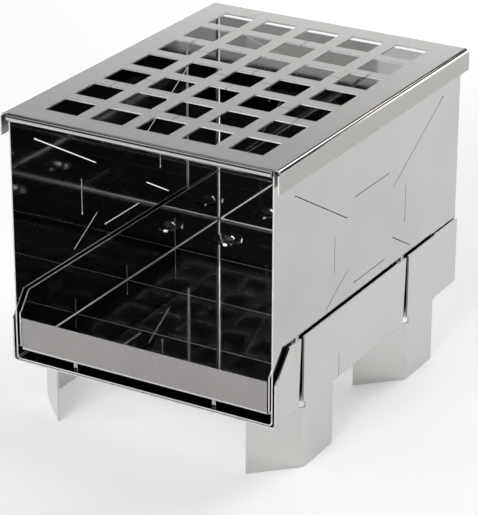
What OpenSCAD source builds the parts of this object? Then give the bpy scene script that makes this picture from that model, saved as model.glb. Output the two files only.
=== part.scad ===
// Rocket stove in folded stainless sheet: an open-front firebox under a
// perforated grate cap, with a pull-out fire tray, sitting in a legged stand.
// +X is right, +Y is back, +Z is up; the feet stand on z = 0.

/* [Overall] */
// Width of the firebox body over its side walls
body_w = 206.6; // [170:0.1:250]
// Length of the firebox body, front to back
body_l = 276.4; // [230:0.1:335]
// Height from the floor to the top of the grate cap
height = 233; // [195:1:280]
// Height of the underside of the stand above the floor
leg_h = 46.5; // [38:0.5:56]

/* [Sheet] */
// Sheet of the body, the back panel and the fire tray
sheet_t = 1.0; // [0.8:0.1:1.2]
// Sheet of the grate cap and the stand
heavy_t = 1.2; // [1.0:0.1:1.5]
// Outside radius of a bend
bend_r = 3; // [2:0.5:4]
// Clearance left under a piece that rests on another
rest_gap = 0.3; // [0.3:0.1:0.5]

/* [Firebox body] */
// Width of the relief cuts in the walls, tray and cap
slit_w = 0.7; // [0.4:0.1:1]
// Diameter of the pierced dot at the end of a relief cut
dot_d = 1.8; // [1.2:0.1:2.4]
// Angle of the diagonal relief cuts above and below the horizontal
relief_a = 29.8; // [20:0.1:40]
// Inner end of the diagonals, from the middle of the pattern
relief_r0 = 39; // [30:1:45]
// Outer end of the lower diagonals, from the middle of the pattern
relief_low = 74.6; // [60:0.2:90]
// Distance from the outer end of the upper diagonals to the end of the wall
relief_inset = 28.8; // [24:0.1:35]
// Half the width of the relief pattern over its two upright cuts
tie_y = 53.3; // [44:0.1:64]
// Height of the level cuts above and below the middle of the pattern
tie_z = 32.2; // [26:0.1:38]

/* [Back panel] */
// Depth of the flanges that lap inside the side walls
lap = 45; // [30:1:60]
// Gap between the top of the back panel and the top of the side walls
flue_gap = 7.5; // [5:0.5:15]

/* [Fire tray] */
// Gap between the tray and each side wall of the body
tray_gap = 1.7; // [1.5:0.1:3]
// Height of the side and rear walls of the tray
tray_h = 42.7; // [34:0.1:52]
// Height of the lip across the front
lip_h = 25.2; // [20:0.1:31]
// Height that the air slits climb up the side walls
slit_rise = 13; // [8:1:20]
// Distance from the middle to the front and rear air slits
slit_y = 69; // [55:1:84]
// Distance from the middle to each tab under the lip
tab_x = 56; // [45:1:67]

/* [Tray feet] */
// Diameter of the foot bolt shank
bolt_d = 5; // [4:1:6]
// Height of the foot below the tray, which holds the air gap under it
foot_h = 5.5; // [4.8:0.1:7]
// Diameter of the bolt's round head
head_d = 9.5; // [8:0.5:12]
// Height of the bolt's round head
head_h = 2.75; // [2:0.05:3.5]
// Diameter of the wide washer
washer_d = 21.5; // [18:0.5:26]
// Width of the nut across its flats
nut_af = 8; // [7:1:10]
// Height of the nut
nut_h = 4; // [3.2:0.1:4.8]
// Thickness of the wide washer
washer_t = 1.2; // [0.8:0.1:2]
// Distance from the bolts to the end of the body, front and rear
foot_inset = 34.2; // [28:0.1:41]

/* [Grate cap] */
// Width of the black gap between each cap flange and the side wall
cap_gap = 4; // [3:0.1:6]
// Overhang of the front and rear rolls past the body
roll_out = 3.8; // [2:0.1:6]
// Side of the square holes
hole = 26; // [21:0.5:27]
// Depth of the side flanges
flange_h = 16.5; // [13:0.5:20]

/* [Stand] */
// Gap between the skirt of the stand and the side wall of the body
skirt_gap = 1.6; // [1:0.1:2.5]
// Step of the skirt towards the wall behind the rear legs
step_in = 0.8; // [0.4:0.1:0.9]
// Height of the skirt above the underside of the stand
skirt_h = 53.2; // [44:0.1:64]
// Width of each of the two plates of a leg
leg_w = 41; // [34:0.5:49]
// Distance from the front edge of the front leg's fold to the end of the body
leg_inset = 39.5; // [33:0.1:48]

/* [Hidden] */
$fn = 64;
eps = 0.01;

body_z = leg_h + heavy_t + rest_gap;
body_top = height - heavy_t - rest_gap;
body_in = body_w / 2 - sheet_t;
tray_z = body_z + sheet_t + rest_gap + foot_h;
tray_x = body_in - tray_gap;
tray_front = -body_l / 2 + 0.2;
tray_rear = body_l / 2 - 2.2;
floor_z = tray_z + sheet_t;
foot_x = tray_x - 28;
foot_y = body_l / 2 - foot_inset;
cap_x = body_w / 2 + cap_gap + heavy_t;
cap_y = body_l / 2 + roll_out;
skirt_x = body_w / 2 + skirt_gap + heavy_t;
leg_y = body_l / 2 - leg_inset;
leg_top = leg_h + bend_r + 1;
step_y = leg_y + 2;
cols = 5;
rows = 7;
pitch_x = (2 * cap_x - 47 - hole) / (cols - 1);
pitch_y = (2 * cap_y - 42 - hole) / (rows - 1);

// Flat drawing in X and Z, drawn out along Y.
module along_y(y0, y1)
  translate([0, y1, 0]) rotate([90, 0, 0]) linear_extrude(y1 - y0) children();

// Flat drawing in Y and Z, drawn out along X.
module along_x(x0, x1)
  translate([x0, 0, 0]) rotate([90, 0, 90]) linear_extrude(x1 - x0) children();

// Outline of a channel, filled, with rounded lower corners.
module trough(half, z0, z1, r) {
  translate([-half, z0 + r]) square([2 * half, z1 - z0 - r]);
  translate([-half + r, z0]) square([2 * (half - r), r + eps]);
  for (s = [-1, 1]) translate([s * (half - r), z0 + r]) circle(r);
}

// Channel bent from sheet, open at the top.
module channel(half, z0, z1, t, r) {
  difference() {
    trough(half, z0, z1, r);
    trough(half - t, z0 + t, z1 + 1, r - t);
  }
}

// Quarter bend between two flat runs of sheet, centred on the bend's axis.
module quarter_bend(r, t) {
  intersection() {
    difference() {
      circle(r);
      circle(r - t);
    }
    square(2 * r);
  }
}

// One thin cut with its pierced dot, from radius r0 to r1.
module slit(r0, r1, dot = true) {
  translate([r0, -slit_w / 2]) square([r1 - r0, slit_w]);
  if (dot) translate([r1, 0]) circle(dot_d / 2);
}

// Relief cuts of one side wall, about the middle of the pattern.
module relief_pattern() {
  reach = (body_l / 2 - relief_inset) / cos(relief_a);
  for (a = [relief_a, 180 - relief_a]) rotate(a) slit(relief_r0, reach);
  for (a = [-relief_a, 180 + relief_a]) rotate(a) slit(relief_r0, relief_low, false);
  translate([0, tie_z]) slit(-25.4, 25.4);
  translate([0, -tie_z]) rotate(180) slit(-23, 23);
  for (s = [-1, 1]) translate([s * tie_y, 0]) rotate(-90) slit(-13.4, 13.4);
}

module body_shell() {
  color("silver") difference() {
    along_y(-body_l / 2, body_l / 2)
      channel(body_w / 2, body_z, body_top, sheet_t, bend_r);
    along_x(-body_w / 2 - 1, body_w / 2 + 1)
      translate([0, body_z + 0.51 * (body_top - body_z)]) relief_pattern();
  }
}

// Back sheet and its two flanges, lapped against the side walls.
module back_panel() {
  half = body_in - 0.05;
  rear = body_l / 2 - 0.5;
  z0 = body_z + bend_r + 0.2;
  color("gainsboro") translate([0, 0, z0]) linear_extrude(body_top - flue_gap - z0)
    translate([0, rear]) mirror([0, 1])
      channel(half, 0, lap + 0.1, sheet_t, bend_r);
}

// Floor and side walls of the tray, between the bends at its two ends.
module tray_channel()
  along_y(tray_front + bend_r, tray_rear - bend_r)
    channel(tray_x, tray_z, tray_z + tray_h, sheet_t, bend_r - 1);

// End of the tray of height h with its bend, drawn in Y and Z.
module end_section(h) {
  translate([0, bend_r]) square([sheet_t, h - bend_r]);
  translate([bend_r, bend_r]) rotate(180) quarter_bend(bend_r, sheet_t);
}

module fire_tray() {
  lip_x = tray_x - bend_r + 1;
  wall_z = tray_z + bend_r;
  color("lightgray") difference() {
    union() {
      tray_channel();
      // front lip
      along_x(-lip_x, lip_x) translate([tray_front, tray_z]) end_section(lip_h);
      // rear wall, with open corners beside it
      along_x(-lip_x, lip_x) translate([tray_rear, tray_z]) mirror([1, 0]) end_section(tray_h);
      for (s = [-1, 1]) {
        // front ends of the side walls
        translate([s * (tray_x - sheet_t / 2) - sheet_t / 2, tray_front + 0.5, wall_z])
          cube([sheet_t, bend_r, tray_h - bend_r]);
        // rear ends of the side walls
        translate([s * (tray_x - sheet_t / 2) - sheet_t / 2, tray_rear - bend_r - 0.5, wall_z])
          cube([sheet_t, bend_r - 1, tray_h - bend_r]);
        // tabs under the lip
        translate([s * tab_x - 1.5, tray_front + bend_r, tray_z - foot_h])
          cube([3, sheet_t, foot_h + sheet_t / 2]);
      }
    }
    // slanted upper front corners
    along_x(-tray_x - 1, tray_x + 1)
      polygon([[tray_front - 1, tray_z + lip_h + 4],
               [tray_front + 1.5, tray_z + lip_h + 4],
               [tray_front + 12, tray_z + tray_h],
               [tray_front + 12, tray_z + tray_h + 1],
               [tray_front - 1, tray_z + tray_h + 1]]);
    // air slits across the floor and up the side walls
    for (i = [-1, 0, 1])
      translate([-tray_x - 1, i * slit_y - slit_w / 2, tray_z - 1])
        cube([2 * tray_x + 2, slit_w, slit_rise * (i == 1 ? 2 : 1) + 1]);
    for (sx = [-1, 1], sy = [-1, 1])
      translate([sx * foot_x, sy * foot_y, tray_z - 1])
        cylinder(h = sheet_t + 2, d = bolt_d + 0.5);
  }
}

// Places one foot fastener at each corner of the tray.
module at_feet(z)
  for (sx = [-1, 1], sy = [-1, 1]) translate([sx * foot_x, sy * foot_y, z]) children();

module tray_foot_bolts() {
  shank = foot_h + sheet_t + washer_t;
  dome_r = (head_d * head_d / 4 + head_h * head_h) / (2 * head_h);
  color("gray") at_feet(floor_z + washer_t) difference() {
    union() {
      intersection() {
        translate([0, 0, head_h - dome_r]) sphere(dome_r);
        cylinder(h = head_h + 1, d = head_d + 1);
      }
      translate([0, 0, -shank]) cylinder(h = shank + eps, d = bolt_d);
    }
    translate([0, 0, head_h - 1.6]) cylinder(h = 3, d = 3 / cos(30), $fn = 6);
  }
}

module tray_washers() {
  color("silver") at_feet(floor_z) difference() {
    cylinder(h = washer_t, d = washer_d);
    translate([0, 0, -1]) cylinder(h = washer_t + 2, d = bolt_d + 0.3);
  }
}

module tray_nuts() {
  color("dimgray") at_feet(tray_z - nut_h) difference() {
    cylinder(h = nut_h, d = nut_af / cos(30), $fn = 6);
    translate([0, 0, -1]) cylinder(h = nut_h + 2, d = bolt_d + 0.06);
  }
}

// Rolled front edge of the cap, drawn in Y and Z.
module roll_section() {
  axis_y = -cap_y + bend_r;
  axis_z = height - bend_r;
  translate([axis_y, axis_z]) {
    intersection() {
      difference() {
        circle(bend_r);
        circle(bend_r - heavy_t);
      }
      polygon([[0, 0], [0, 9], [-9, 9], [-9, -9]]);
    }
    rotate(225) translate([bend_r - heavy_t, 0]) square([heavy_t, 1.3]);
  }
}

// Thin cut through a bar of the grate: lengthwise bars are cut across X,
// cross bars along Y.
module bar_cuts() {
  for (r = [0, 2, 3, 5]) cross_bar_cut(2, r);
  for (c = [0, 4], r = [1, 4]) cross_bar_cut(c, r);
  for (c = [0, 3], r = [2, 4]) long_bar_cut(c, r);
  for (c = [1, 2]) long_bar_cut(c, 3);
}

// Cut between row r and the next, in column c.
module cross_bar_cut(c, r)
  translate([(c - (cols - 1) / 2) * pitch_x - slit_w / 2, (r - rows / 2 + 1) * pitch_y
             - (pitch_y - hole) / 2 - 1])
    square([slit_w, pitch_y - hole + 2]);

// Cut between column c and the next, in row r.
module long_bar_cut(c, r)
  translate([(c - cols / 2 + 1) * pitch_x - (pitch_x - hole) / 2 - 1,
             (r - (rows - 1) / 2) * pitch_y - slit_w / 2])
    square([pitch_x - hole + 2, slit_w]);

module grate_cap() {
  roll_x = cap_x - 5.5;
  flange_y = cap_y - 1;
  color("darkgray") difference() {
    union() {
      translate([0, 0, 2 * height]) mirror([0, 0, 1])
        along_y(-cap_y + bend_r, cap_y - bend_r)
          channel(cap_x, height, height + flange_h, heavy_t, bend_r);
      for (s = [0, 1]) mirror([0, s, 0]) along_x(-roll_x, roll_x) roll_section();
      for (s = [-1, 1])
        translate([s * (cap_x - heavy_t / 2) - heavy_t / 2, -flange_y, height - flange_h])
          cube([heavy_t, 2 * flange_y, flange_h - bend_r]);
    }
    for (c = [0 : cols - 1], r = [0 : rows - 1])
      translate([(c - (cols - 1) / 2) * pitch_x - hole / 2,
                 (r - (rows - 1) / 2) * pitch_y - hole / 2, height - 4])
        cube([hole, hole, 8]);
    translate([0, 0, height - 4]) linear_extrude(8) bar_cuts();
  }
}

// One leg in plan, the front right one: a side plate in line with the skirt,
// folded 45 degrees into the plate that braces it.
module leg_plan() {
  axis = [skirt_x - bend_r, bend_r * tan(22.5)];
  steps = 8;
  toe = (axis.y - leg_w) * [sin(45), cos(45)];
  outer = [for (i = [0 : steps]) axis + bend_r * [cos(45 * i / steps), -sin(45 * i / steps)]];
  inner = [for (p = outer) axis + (p - axis) * (bend_r - heavy_t) / bend_r];
  polygon(concat([[skirt_x, leg_w]], outer, [outer[steps] + toe, inner[steps] + toe],
                 [for (i = [steps : -1 : 0]) inner[i]], [[skirt_x - heavy_t, leg_w]]));
}

// Wedge slot just in front of a fold, with the window in the bottom that the
// leg's metal was cut from. Drawn for a fold at y = 0.
module leg_cuts(front_end) {
  along_x(skirt_x - 6, skirt_x + 1)
    polygon([[-1.3, leg_h - 1], [-1.3, leg_h + skirt_h + 1],
             [-5.5, leg_h + skirt_h + 1], [-8.5, leg_h - 1]]);
  translate([skirt_x - leg_h - 1, -1.3, leg_h - 1])
    cube([leg_h + 2, leg_w + 1.9, leg_top - leg_h + 1]);
  translate([skirt_x - leg_h - 1, front_end, leg_h - 1])
    cube([leg_h - 4, leg_w / 2 - front_end, leg_top - leg_h + 1]);
}

module stand() {
  fold_front = -leg_y;
  fold_rear = leg_y - leg_w;
  leg_gap = 0.5;
  notch = bend_r * tan(22.5) + 0.3;
  color("lightsteelblue") {
    difference() {
      union() {
        along_y(-body_l / 2 - 0.3, step_y)
          channel(skirt_x, leg_h, leg_h + skirt_h, heavy_t, bend_r);
        // behind the rear legs the skirt steps in towards the walls
        along_y(step_y, body_l / 2)
          channel(skirt_x - step_in, leg_h, leg_h + skirt_h, heavy_t, bend_r);
      }
      // slanted upper front corners
      along_x(-skirt_x - 1, skirt_x + 1)
        polygon([[-body_l / 2 - 2, leg_h + skirt_h - 20.7],
                 [-body_l / 2 - 0.3, leg_h + skirt_h - 20.7],
                 [-body_l / 2 + 18.2, leg_h + skirt_h],
                 [-body_l / 2 + 18.2, leg_h + skirt_h + 1],
                 [-body_l / 2 - 2, leg_h + skirt_h + 1]]);
      for (s = [0, 1]) mirror([s, 0, 0]) {
        translate([0, fold_front, 0]) leg_cuts(-body_l / 2 + leg_y + 6.2);
        translate([0, fold_rear, 0]) leg_cuts(-leg_w);
        // short relief cut behind the front leg
        translate([skirt_x - 6, fold_front + leg_w + 8, leg_h - 1]) cube([7, slit_w, 20.5]);
      }
    }
    for (s = [0, 1]) mirror([s, 0, 0])
      for (y = [fold_front, fold_rear]) translate([0, y, 0]) {
        linear_extrude(leg_h - leg_gap) leg_plan();
        translate([skirt_x - heavy_t, notch, leg_h - leg_gap])
          cube([heavy_t, leg_w - notch, leg_top - leg_h + leg_gap]);
      }
  }
}

stand();
body_shell();
back_panel();
fire_tray();
grate_cap();
tray_foot_bolts();
tray_washers();
tray_nuts();
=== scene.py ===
import math

import bmesh
import bpy
from mathutils import Matrix, Vector


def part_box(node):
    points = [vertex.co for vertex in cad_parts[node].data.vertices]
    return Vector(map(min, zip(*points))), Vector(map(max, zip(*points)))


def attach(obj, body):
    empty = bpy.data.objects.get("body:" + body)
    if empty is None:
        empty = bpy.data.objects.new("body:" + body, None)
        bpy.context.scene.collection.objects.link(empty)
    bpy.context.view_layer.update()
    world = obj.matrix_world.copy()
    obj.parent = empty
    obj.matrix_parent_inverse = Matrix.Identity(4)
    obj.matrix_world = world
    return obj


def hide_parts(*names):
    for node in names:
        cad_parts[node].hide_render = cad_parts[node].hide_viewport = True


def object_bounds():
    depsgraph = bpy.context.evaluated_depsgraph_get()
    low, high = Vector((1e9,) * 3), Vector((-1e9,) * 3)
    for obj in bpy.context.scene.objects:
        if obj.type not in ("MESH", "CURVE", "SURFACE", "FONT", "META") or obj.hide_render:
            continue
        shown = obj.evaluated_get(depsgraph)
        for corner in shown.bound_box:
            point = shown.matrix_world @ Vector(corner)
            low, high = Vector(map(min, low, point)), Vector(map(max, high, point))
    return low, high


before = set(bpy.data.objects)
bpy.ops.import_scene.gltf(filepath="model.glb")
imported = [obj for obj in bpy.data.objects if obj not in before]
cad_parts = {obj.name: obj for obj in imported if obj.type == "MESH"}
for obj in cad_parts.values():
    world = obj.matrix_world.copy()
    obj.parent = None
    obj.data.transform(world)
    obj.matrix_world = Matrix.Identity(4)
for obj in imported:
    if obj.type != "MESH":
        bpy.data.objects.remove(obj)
cad_lo, cad_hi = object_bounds()

# ---- Camera ---------------------------------------------------------------
# degrees, metres from the aim point, and millimetres of lens and sensor
CAMERA_AZIMUTH = 30.10
CAMERA_ELEVATION = 23.70
CAMERA_ROLL = 0.14
CAMERA_DISTANCE = 1.7985
CAMERA_LENS = 188.3
CAMERA_SENSOR = 36
CAMERA_REACH = 50
# the aim point, from the middle of the stove's footprint on the floor
AIM_FROM_MIDDLE = Vector((0.0016, -0.0076, 0.0995))


def place_camera():
    """Puts the camera on the ray that leaves the aim point at its azimuth and elevation."""
    middle = (cad_lo + cad_hi) / 2
    aim = Vector((middle.x, middle.y, cad_lo.z)) + AIM_FROM_MIDDLE
    azimuth = math.radians(CAMERA_AZIMUTH)
    elevation = math.radians(CAMERA_ELEVATION)
    back = Vector(
        (
            math.sin(azimuth) * math.cos(elevation),
            -math.cos(azimuth) * math.cos(elevation),
            math.sin(elevation),
        )
    )
    data = bpy.data.cameras.new("camera")
    data.sensor_fit = "HORIZONTAL"
    data.sensor_width = CAMERA_SENSOR
    data.lens = CAMERA_LENS
    data.clip_end = CAMERA_REACH
    camera = bpy.data.objects.new("camera", data)
    bpy.context.scene.collection.objects.link(camera)
    turn = (-back).to_track_quat("-Z", "Y").to_matrix().to_4x4()
    roll = Matrix.Rotation(math.radians(CAMERA_ROLL), 4, "Z")
    camera.matrix_world = Matrix.Translation(aim + back * CAMERA_DISTANCE) @ turn @ roll
    bpy.context.scene.camera = camera


# ---- Steel ----------------------------------------------------------------
# nearly all of a noise's values lie between these two
NOISE_LOW = 0.3
NOISE_HIGH = 0.7


class Steel:
    """A node material for stainless sheet, built up one effect at a time."""

    def __init__(self, name, colour, roughness):
        self.material = bpy.data.materials.new(name)
        self.material.use_nodes = True
        self.tree = self.material.node_tree
        self.shader = self.tree.nodes["Principled BSDF"]
        self.shader.inputs["Metallic"].default_value = 1.0
        self.shader.inputs["Base Color"].default_value = (*colour, 1)
        self.shader.inputs["Roughness"].default_value = roughness
        self.colour = colour
        self.roughness = roughness
        self.coordinates = self.node("ShaderNodeTexCoord").outputs["Object"]

    def node(self, kind, **settings):
        node = self.tree.nodes.new(kind)
        for key, value in settings.items():
            setattr(node, key, value)
        return node

    def link(self, source, target):
        self.tree.links.new(source, target)

    def noise(self, scale, stretch=(1, 1, 1), detail=2.0):
        """Noise of so many cells to the metre, drawn out along an axis by stretch."""
        scaled = self.node("ShaderNodeVectorMath", operation="MULTIPLY")
        scaled.inputs[1].default_value = stretch
        self.link(self.coordinates, scaled.inputs[0])
        noise = self.node("ShaderNodeTexNoise")
        noise.inputs["Scale"].default_value = scale
        noise.inputs["Detail"].default_value = detail
        self.link(scaled.outputs[0], noise.inputs["Vector"])
        return noise.outputs["Fac"]

    def ramp(self, pattern, low, high):
        """Spreads a noise evenly from low to high."""
        ramp = self.node("ShaderNodeMapRange")
        ramp.inputs["From Min"].default_value = NOISE_LOW
        ramp.inputs["From Max"].default_value = NOISE_HIGH
        ramp.inputs["To Min"].default_value = low
        ramp.inputs["To Max"].default_value = high
        self.link(pattern, ramp.inputs["Value"])
        return ramp.outputs["Result"]

    def bump(self, height, distance):
        """Raises the surface by height times distance, in metres."""
        bump = self.node("ShaderNodeBump")
        bump.inputs["Strength"].default_value = 1.0
        bump.inputs["Distance"].default_value = distance
        self.link(height, bump.inputs["Height"])
        self.link(bump.outputs["Normal"], self.shader.inputs["Normal"])

    def vary_roughness(self, pattern, spread):
        """Roughness follows a pattern, by spread to each side of its own value."""
        ramp = self.ramp(pattern, self.roughness - spread, self.roughness + spread)
        self.link(ramp, self.shader.inputs["Roughness"])

    def vary_colour(self, pattern, darkest):
        """Colour drifts between its own value and that value times darkest."""
        mix = self.node("ShaderNodeMix", data_type="RGBA")
        self.link(self.ramp(pattern, 0, 1), mix.inputs["Factor"])
        mix.inputs["A"].default_value = (*self.colour, 1)
        mix.inputs["B"].default_value = (*[part * darkest for part in self.colour], 1)
        self.link(mix.outputs["Result"], self.shader.inputs["Base Color"])


def bright_sheet(name, colour, roughness, wave):
    """Bright annealed sheet: smooth, a little wavy, with faint rolling lines along Y."""
    steel = Steel(name, colour, roughness)
    rolling_lines = steel.noise(900, stretch=(1, 0.02, 1))
    clouds = steel.noise(16)
    waves = steel.noise(11, detail=1.0)
    steel.vary_roughness(rolling_lines, spread=roughness * 0.35)
    steel.vary_colour(clouds, darkest=0.93)
    steel.bump(waves, distance=wave)
    return steel.material


def brushed_sheet(name, colour, roughness, grain):
    """Brushed sheet: fine scratches run along Y over a soft satin ground."""
    steel = Steel(name, colour, roughness)
    scratches = steel.noise(2600, stretch=(1, 0.05, 1), detail=4.0)
    streaks = steel.noise(1900, stretch=(1, 0.06, 1))
    steel.vary_roughness(scratches, spread=roughness * 0.12)
    steel.vary_colour(streaks, darkest=0.95)
    steel.bump(scratches, distance=grain)
    return steel.material


def dull_steel(name, colour, roughness):
    """Dull steel, as cutting leaves an edge: fine marks that run no one way; with a near-black
    colour it is the cap's underside painted as shade.
    """
    steel = Steel(name, colour, roughness)
    marks = steel.noise(2600)
    patches = steel.noise(300)
    steel.vary_roughness(marks, spread=0.08)
    steel.vary_colour(patches, darkest=0.8)
    steel.bump(marks, distance=0.00002)
    return steel.material


def fold_steel(name, colour, roughness):
    """Folded steel: the press has dulled it and left a faint grain along Y."""
    steel = Steel(name, colour, roughness)
    grain = steel.noise(700, stretch=(1, 0.08, 1))
    patches = steel.noise(120)
    steel.vary_roughness(grain, spread=0.05)
    steel.vary_colour(patches, darkest=0.92)
    steel.bump(grain, distance=0.000006)
    return steel.material


def fastener_steel(name, colour, roughness):
    """Bright cold-formed fastener steel with faint tool marks."""
    steel = Steel(name, colour, roughness)
    tool_marks = steel.noise(1800)
    patches = steel.noise(700)
    steel.vary_roughness(tool_marks, spread=roughness * 0.4)
    steel.vary_colour(patches, darkest=0.85)
    steel.bump(tool_marks, distance=0.000006)
    return steel.material


BODY_STEEL = bright_sheet("body_steel", (0.53, 0.535, 0.52), roughness=0.05, wave=0.00012)
BACK_STEEL = bright_sheet("back_steel", (0.42, 0.415, 0.41), roughness=0.05, wave=0.00012)
TRAY_STEEL = bright_sheet("tray_steel", (0.50, 0.49, 0.485), roughness=0.04, wave=0.00006)
LIP_STEEL = bright_sheet("lip_steel", (0.37, 0.355, 0.35), roughness=0.28, wave=0.00010)
STAND_STEEL = bright_sheet("stand_steel", (0.60, 0.60, 0.585), roughness=0.16, wave=0.00012)
CAP_STEEL = brushed_sheet("cap_steel", (0.46, 0.447, 0.434), roughness=0.34, grain=0.000005)
EDGE_STEEL = dull_steel("edge_steel", (0.80, 0.80, 0.80), roughness=0.42)
# folds and broken cut edges of the body, back and tray: near-white colour, a painted highlight
# along every bend
BEND_PAINTED_HIGHLIGHT_STEEL = fold_steel("bend_painted_highlight_steel", (0.95, 0.95, 0.94), roughness=0.34)
STAND_BEND_STEEL = fold_steel("stand_bend_steel", (0.62, 0.62, 0.61), roughness=0.22)
ROLL_STEEL = fold_steel("roll_steel", (0.58, 0.57, 0.56), roughness=0.10)
# the cap's underside: steel painted near black as the shade under the cap
UNDER_PAINTED_SHADE_STEEL = dull_steel("under_painted_shade_steel", (0.07, 0.069, 0.067), roughness=0.45)
WASHER_STEEL = fastener_steel("washer_steel", (0.60, 0.60, 0.60), roughness=0.10)
BOLT_STEEL = fastener_steel("bolt_steel", (0.74, 0.74, 0.73), roughness=0.24)


# ---- Folded sheets --------------------------------------------------------
EDGE_BREAK = 0.00012
SAME_POINT = 0.000001
FLAT_ANGLE = math.radians(0.5)
SHARP_ANGLE = math.radians(38)
# a facet of a fold is narrower than this and squarely faces no axis
BEND_FACET = 0.0015
SQUARELY = 0.995

# a sheet's finishes, in this order; the tray and the cap each have a fourth
SHEET, EDGE, BEND = 0, 1, 2
LIP = 3
# the cap's fourth finish is its underside, painted near black as shade
PAINTED_SHADE_UNDER = 3

# how much of a face's normal points along an axis when the face leans or
# faces that way, and how near its middle then lies to the end of its sheet
LEANS = 0.3
TILTS = 0.5
FACES = 0.6
FACES_WELL = 0.8
FACES_FULLY = 0.9
AT_END = 0.0006

# heights over a sheet's own foot, clear above its bottom and the folds there
ABOVE_BODY_FOLDS = 0.0045
ABOVE_TRAY_FOLDS = 0.02
ABOVE_STAND_FOLDS = 0.055
# depth under the cap's top, clear below its rolls
BELOW_CAP_ROLLS = 0.004
# depths in from the sides and ends of the cap, and of the tray's lip
CAP_SIDE_BAR = 0.02
CAP_END_BAR = 0.012
LIP_DEPTH = 0.0025
LIP_CORNER = 0.0015


def add_piece(name, mesh, body, node):
    """Links a finished mesh as the piece that stands for a CAD node."""
    piece = bpy.data.objects.new(name, mesh)
    bpy.context.scene.collection.objects.link(piece)
    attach(piece, body)
    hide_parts(node)
    return piece


def is_bend(face):
    """True for the narrow facets of a fold, which lie between the sheet's flat faces."""
    width = 2 * face.calc_area() / face.calc_perimeter()
    return width < BEND_FACET and max(abs(part) for part in face.normal) < SQUARELY


def folded_sheet(name, node, body, finishes, finish_of):
    """The node's sheet with its cut edges broken; finish_of picks each face's finish."""
    work = bmesh.new()
    work.from_mesh(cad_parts[node].data)
    bmesh.ops.remove_doubles(work, verts=work.verts, dist=SAME_POINT)
    bmesh.ops.dissolve_limit(
        work, angle_limit=FLAT_ANGLE, verts=work.verts, edges=work.edges
    )
    sharp = [
        edge
        for edge in work.edges
        if len(edge.link_faces) == 2 and edge.calc_face_angle() > SHARP_ANGLE
    ]
    bmesh.ops.bevel(
        work,
        geom=sharp,
        offset=EDGE_BREAK,
        offset_type="OFFSET",
        segments=2,
        profile=0.5,
        affect="EDGES",
        material=-1,
        clamp_overlap=True,
    )
    for face in work.faces:
        face.smooth = True
        # narrow fold and edge-break facets take the bend finish, on the body, back and tray a
        # painted highlight
        if is_bend(face):
            face.material_index = BEND
        else:
            face.material_index = finish_of(face.calc_center_median(), face.normal)
    mesh = bpy.data.meshes.new(name)
    work.to_mesh(mesh)
    work.free()
    for finish in finishes:
        mesh.materials.append(finish)
    mesh.set_sharp_from_angle(angle=SHARP_ANGLE)
    piece = add_piece(name, mesh, body, node)
    normals = piece.modifiers.new("flat_normals", "WEIGHTED_NORMAL")
    normals.keep_sharp = True
    normals.weight = 100


def make_body_shell():
    """Left wall, bottom and right wall; all but its broad faces are cut edges."""
    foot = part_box("body_shell")[0].z

    def finish_of(centre, normal):
        above_folds = centre.z > foot + ABOVE_BODY_FOLDS
        return EDGE if abs(normal.x) < FACES and above_folds else SHEET

    folded_sheet(
        "body_walls",
        "body_shell",
        "firebox",
        [BODY_STEEL, EDGE_STEEL, BEND_PAINTED_HIGHLIGHT_STEEL],
        finish_of,
    )


def make_back_panel():
    """Back sheet with its two flanges; cut edges at top, foot and the flanges' fronts."""
    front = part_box("back_panel")[0].y

    def finish_of(centre, normal):
        at_front = normal.y < -FACES and centre.y < front + AT_END
        return EDGE if abs(normal.z) > FACES or at_front else SHEET

    folded_sheet(
        "back_sheet",
        "back_panel",
        "firebox",
        [BACK_STEEL, EDGE_STEEL, BEND_PAINTED_HIGHLIGHT_STEEL],
        finish_of,
    )


def make_fire_tray():
    """Tray with a satin lip; cut edges round the lip and along the walls' tops."""
    lo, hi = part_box("fire_tray")

    def finish_of(centre, normal):
        if centre.y < lo.y + AT_END and normal.y < -FACES:
            return LIP if abs(centre.x) < hi.x - LIP_CORNER else EDGE
        above_folds = centre.z > lo.z + ABOVE_TRAY_FOLDS
        lip_end = centre.y < lo.y + LIP_DEPTH and abs(normal.z) > FACES
        wall_top = normal.z > FACES and above_folds
        wall_slope = normal.z > LEANS and normal.y < -LEANS and above_folds
        return EDGE if wall_top or wall_slope or lip_end else SHEET

    folded_sheet(
        "tray_sheet",
        "fire_tray",
        "tray",
        [TRAY_STEEL, EDGE_STEEL, BEND_PAINTED_HIGHLIGHT_STEEL, LIP_STEEL],
        finish_of,
    )


def make_stand():
    """Stand; cut edges at its ends, on top of its skirts and under its feet."""
    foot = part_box("stand")[0].z

    def finish_of(centre, normal):
        at_end = abs(normal.y) > FACES_FULLY
        skirt_top = normal.z > TILTS and centre.z > foot + ABOVE_STAND_FOLDS
        leg_foot = normal.z < -FACES_FULLY and centre.z < foot + AT_END
        return EDGE if at_end or skirt_top or leg_foot else SHEET

    folded_sheet(
        "stand_sheet",
        "stand",
        "stand",
        [STAND_STEEL, EDGE_STEEL, STAND_BEND_STEEL],
        finish_of,
    )


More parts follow.
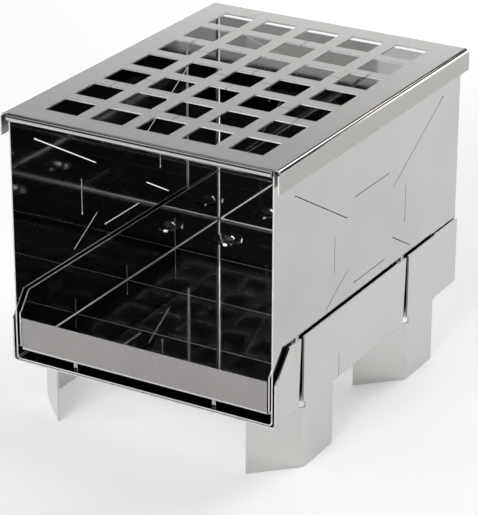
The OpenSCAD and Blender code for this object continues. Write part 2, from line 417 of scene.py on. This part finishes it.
def make_grate_cap():
    """Cap with brushed top, rolled ends and an underside painted near black as shade; cut edges
    in every hole.
    """
    lo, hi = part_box("grate_cap")

    def finish_of(centre, normal):
        among_bars = abs(centre.x) < hi.x - CAP_SIDE_BAR and abs(centre.y) < hi.y - CAP_END_BAR
        hole_wall = abs(normal.z) < FACES_WELL and among_bars
        skirt_end = abs(normal.y) > FACES_FULLY and centre.z < hi.z - BELOW_CAP_ROLLS
        skirt_foot = normal.z < -FACES and centre.z < lo.z + AT_END
        if hole_wall or skirt_end or skirt_foot:
            return EDGE
        # faces turned down take the near-black painted shade
        return PAINTED_SHADE_UNDER if normal.z < -FACES_WELL else SHEET

    folded_sheet(
        "grate_plate",
        "grate_cap",
        "cap",
        [CAP_STEEL, EDGE_STEEL, ROLL_STEEL, UNDER_PAINTED_SHADE_STEEL],
        finish_of,
    )


# ---- Tray fasteners -------------------------------------------------------
TURN_STEPS = 48
NUT_STEPS = 36
CREASE_ANGLE = math.radians(32)
# how far a new washer or nut stays inside the one it stands for
SHY = 0.00001


def corners_of(node):
    """Middles of the four like pieces in a node, one at each corner of the tray."""
    lo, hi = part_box(node)
    half = (hi.z - lo.z) / 2
    points = [vertex.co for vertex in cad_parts[node].data.vertices]
    middles = []
    for side in (-1, 1):
        for end in (-1, 1):
            near = [point for point in points if point.x * side > 0 and point.y * end > 0]
            xs = [point.x for point in near]
            ys = [point.y for point in near]
            middles.append(
                Vector(((min(xs) + max(xs)) / 2, (min(ys) + max(ys)) / 2, lo.z + half))
            )
    return middles


def turn_profile(work, profile):
    """Spins a profile of (radius, height) points about Z into a skin."""
    verts = [work.verts.new((radius, 0, height)) for radius, height in profile]
    edges = [work.edges.new(pair) for pair in zip(verts, verts[1:])]
    bmesh.ops.spin(
        work,
        geom=verts + edges,
        cent=(0, 0, 0),
        axis=(0, 0, 1),
        angle=math.tau,
        steps=TURN_STEPS,
        use_merge=True,
    )
    bmesh.ops.remove_doubles(work, verts=work.verts, dist=SAME_POINT)


def ring_about_z(work, steps, outline):
    """Edges of a ring round Z whose reach and height at each angle outline gives."""
    ring = bmesh.ops.create_circle(work, segments=steps, radius=1.0)["verts"]
    for vert in ring:
        angle = math.atan2(vert.co.y, vert.co.x)
        reach, height = outline(angle)
        vert.co = Vector((reach * math.cos(angle), reach * math.sin(angle), height))
    return [edge for edge in work.edges if edge.verts[0] in ring and edge.verts[1] in ring]


def hex_reach(angle, flat):
    """From a hexagon's middle to its outline, flat being the way to each flat side."""
    off_flat = (angle % math.radians(60)) - math.radians(30)
    return flat / math.cos(off_flat)


def at_corners(name, node, finish, shape):
    """Copies one shape, made about its own middle, to the four corners of the tray."""
    work = bmesh.new()
    shape(work)
    bmesh.ops.recalc_face_normals(work, faces=work.faces)
    mesh = bpy.data.meshes.new(name)
    work.to_mesh(mesh)
    work.free()
    whole = bmesh.new()
    for middle in corners_of(node):
        start = len(whole.verts)
        whole.from_mesh(mesh)
        whole.verts.ensure_lookup_table()
        bmesh.ops.translate(whole, verts=whole.verts[start:], vec=middle)
    for face in whole.faces:
        face.smooth = True
    whole.to_mesh(mesh)
    whole.free()
    mesh.materials.append(finish)
    mesh.set_sharp_from_angle(angle=CREASE_ANGLE)
    add_piece(name, mesh, "tray", node)


def make_washers():
    """Wide flat washers, rounded over on top and lightly chamfered elsewhere."""
    lo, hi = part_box("tray_washers")
    half = (hi.z - lo.z) / 2
    outer = (hi.x - corners_of("tray_washers")[-1].x) - SHY
    bore = 0.00265
    chamfer = 0.0002
    round_over = 0.0004
    round_steps = 4

    def shape(work):
        profile = [(bore, -half), (outer - chamfer, -half), (outer, -half + chamfer)]
        for step in range(round_steps + 1):
            angle = math.radians(90 * step / round_steps)
            profile.append(
                (
                    outer - round_over + round_over * math.cos(angle),
                    half - round_over + round_over * math.sin(angle),
                )
            )
        profile += [(bore + chamfer, half), (bore, half - chamfer), (bore, -half)]
        turn_profile(work, profile)

    at_corners("tray_fender_washers", "tray_washers", WASHER_STEEL, shape)


def make_bolts():
    """Button-head bolts: grooved shank, low domed head and a hexagon socket in it."""
    lo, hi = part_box("tray_foot_bolts")
    half = (hi.z - lo.z) / 2
    head_radius = hi.x - corners_of("tray_foot_bolts")[-1].x
    head_height = 0.00275
    head_base = half - head_height
    head_edge = (0.0001, 0.00025)
    dome = (head_radius**2 + head_height**2) / (2 * head_height)
    dome_steps = 7
    rim = 0.0021
    rim_height = half - dome + math.sqrt(dome**2 - rim**2)
    socket_flat = 0.0015
    socket_depth = 0.0015
    shank = 0.0025
    shank_point = 0.0003
    plain_shank = 0.003
    groove_root = 0.0022
    groove_pitch = 0.0008

    def shank_profile():
        height = -half + shank_point
        profile = [(0, -half), (groove_root, -half), (shank, height)]
        while height + groove_pitch < head_base - plain_shank:
            profile += [
                (shank, height + 0.2 * groove_pitch),
                (groove_root, height + 0.6 * groove_pitch),
                (shank, height + groove_pitch),
            ]
            height += groove_pitch
        return profile + [(shank, head_base)]

    def head_profile():
        inset, rise = head_edge
        profile = [(head_radius - inset, head_base), (head_radius, head_base + rise)]
        for step in range(1, dome_steps + 1):
            radius = head_radius + (rim - head_radius) * step / dome_steps
            profile.append((radius, half - dome + math.sqrt(dome**2 - radius**2)))
        return profile

    def socket_mouth(angle):
        return hex_reach(angle, socket_flat), rim_height

    def shape(work):
        turn_profile(work, shank_profile() + head_profile())
        open_rim = [edge for edge in work.edges if edge.is_boundary]
        # the socket's mouth has as many points as the rim, so the two loops bridge evenly
        mouth = ring_about_z(work, TURN_STEPS, socket_mouth)
        bmesh.ops.bridge_loops(work, edges=open_rim + mouth)
        walls = bmesh.ops.extrude_edge_only(work, edges=mouth)["geom"]
        floor_verts = [item for item in walls if isinstance(item, bmesh.types.BMVert)]
        bmesh.ops.translate(work, verts=floor_verts, vec=(0, 0, -socket_depth))
        floor_edges = [
            item
            for item in walls
            if isinstance(item, bmesh.types.BMEdge) and item.is_boundary
        ]
        bmesh.ops.edgeloop_fill(work, edges=floor_edges)

    at_corners("tray_button_bolts", "tray_foot_bolts", BOLT_STEEL, shape)


def make_nuts():
    """Hexagon nuts with a plain bore, their corners chamfered at both ends."""
    lo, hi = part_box("tray_nuts")
    half = (hi.z - lo.z) / 2
    flat = (hi.y - corners_of("tray_nuts")[-1].y) - SHY
    bore = 0.00255
    chamfer_start = flat * 0.97
    chamfer_slope = math.tan(math.radians(30))

    def bore_ring(work, side):
        return ring_about_z(work, NUT_STEPS, lambda angle: (bore, side * half))

    def hex_ring(work, side):
        def outline(angle):
            reach = hex_reach(angle, flat)
            drop = max(0.0, reach - chamfer_start) * chamfer_slope
            return reach, side * (half - drop)

        return ring_about_z(work, NUT_STEPS, outline)

    def shape(work):
        loops = [bore_ring(work, -1), hex_ring(work, -1), hex_ring(work, 1), bore_ring(work, 1)]
        for one, two in zip(loops, loops[1:] + loops[:1]):
            bmesh.ops.bridge_loops(work, edges=one + two)

    at_corners("tray_hex_nuts", "tray_nuts", BOLT_STEEL, shape)


# ---- Studio ---------------------------------------------------------------
TABLE_HALF = 6.0
TABLE_WHITE = (0.9, 0.9, 0.9, 1)
TABLE_ROUGHNESS = 0.9
TABLE_SPECULAR = 0.1
TABLE_GLOW = 0.33
ROOM_GREY = (0.03, 0.03, 0.032, 1)

# name, place and aim in metres from the stove's foot, width, height, radiance
SOFTBOXES = [
    ("overhead", (-0.2, 0.8, 2.4), (0, 0.2, 0), 2.8, 2.6, 0.32),
    ("table_light", (0.8, 1.9, 2.3), (0.1, 1.1, 0), 2.0, 1.6, 3.0),
    ("back_panel_light", (-0.6, 3.0, 0.62), (-0.1, 0, 0.4), 6.0, 1.2, 3.1),
    ("left_panel_light", (-2.8, 0.4, 0.7), (0, 0.2, 0.3), 3.4, 1.3, 0.6),
    ("right_panel_light", (2.8, 0.9, 0.7), (0, 0.3, 0.3), 3.0, 1.3, 0.3),
    ("front_light", (-0.4, -1.6, 1.95), (0, 0, 0.1), 2.2, 0.95, 0.7),
    ("front_left_light", (-2.25, -1.85, 1.1), (0, 0, 0.1), 1.1, 1.3, 1.8),
    ("front_low_light", (0, -2.1, 0.95), (0, 0, 0.08), 1.1, 0.9, 8.5),
]


def make_floor():
    """A wide pale table top that glows a little, so that shadows stay light."""
    mesh = bpy.data.meshes.new("floor")
    work = bmesh.new()
    bmesh.ops.create_grid(work, x_segments=1, y_segments=1, size=TABLE_HALF)
    bmesh.ops.translate(work, verts=work.verts, vec=(0, 0, cad_lo.z))
    work.to_mesh(mesh)
    work.free()
    paper = bpy.data.materials.new("floor_paper")
    paper.use_nodes = True
    shader = paper.node_tree.nodes["Principled BSDF"]
    shader.inputs["Base Color"].default_value = TABLE_WHITE
    shader.inputs["Roughness"].default_value = TABLE_ROUGHNESS
    shader.inputs["Specular IOR Level"].default_value = TABLE_SPECULAR
    shader.inputs["Emission Color"].default_value = (1, 1, 1, 1)
    shader.inputs["Emission Strength"].default_value = TABLE_GLOW
    mesh.materials.append(paper)
    floor = bpy.data.objects.new("floor", mesh)
    bpy.context.scene.collection.objects.link(floor)


def add_softbox(name, place, aim, width, height, radiance):
    """A soft light whose face has the given radiance, whatever its size."""
    data = bpy.data.lights.new(name, "AREA")
    data.shape = "RECTANGLE"
    data.size = width
    data.size_y = height
    data.energy = radiance * math.pi * width * height
    lamp = bpy.data.objects.new(name, data)
    bpy.context.scene.collection.objects.link(lamp)
    facing = (Vector(aim) - Vector(place)).to_track_quat("-Z", "Y")
    lamp.matrix_world = Matrix.Translation(place) @ facing.to_matrix().to_4x4()


def light_studio():
    """A dark room lit by softboxes, shown without any film curve."""
    world = bpy.data.worlds.new("studio")
    world.use_nodes = True
    room = world.node_tree.nodes["Background"]
    room.inputs["Color"].default_value = ROOM_GREY
    room.inputs["Strength"].default_value = 1.0
    bpy.context.scene.world = world
    for softbox in SOFTBOXES:
        add_softbox(*softbox)
    bpy.context.scene.view_settings.view_transform = "Standard"
    bpy.context.scene.view_settings.look = "None"


make_body_shell()
make_back_panel()
make_fire_tray()
make_stand()
make_grate_cap()
make_washers()
make_bolts()
make_nuts()
make_floor()
light_studio()
place_camera()

bpy.context.view_layer.update()
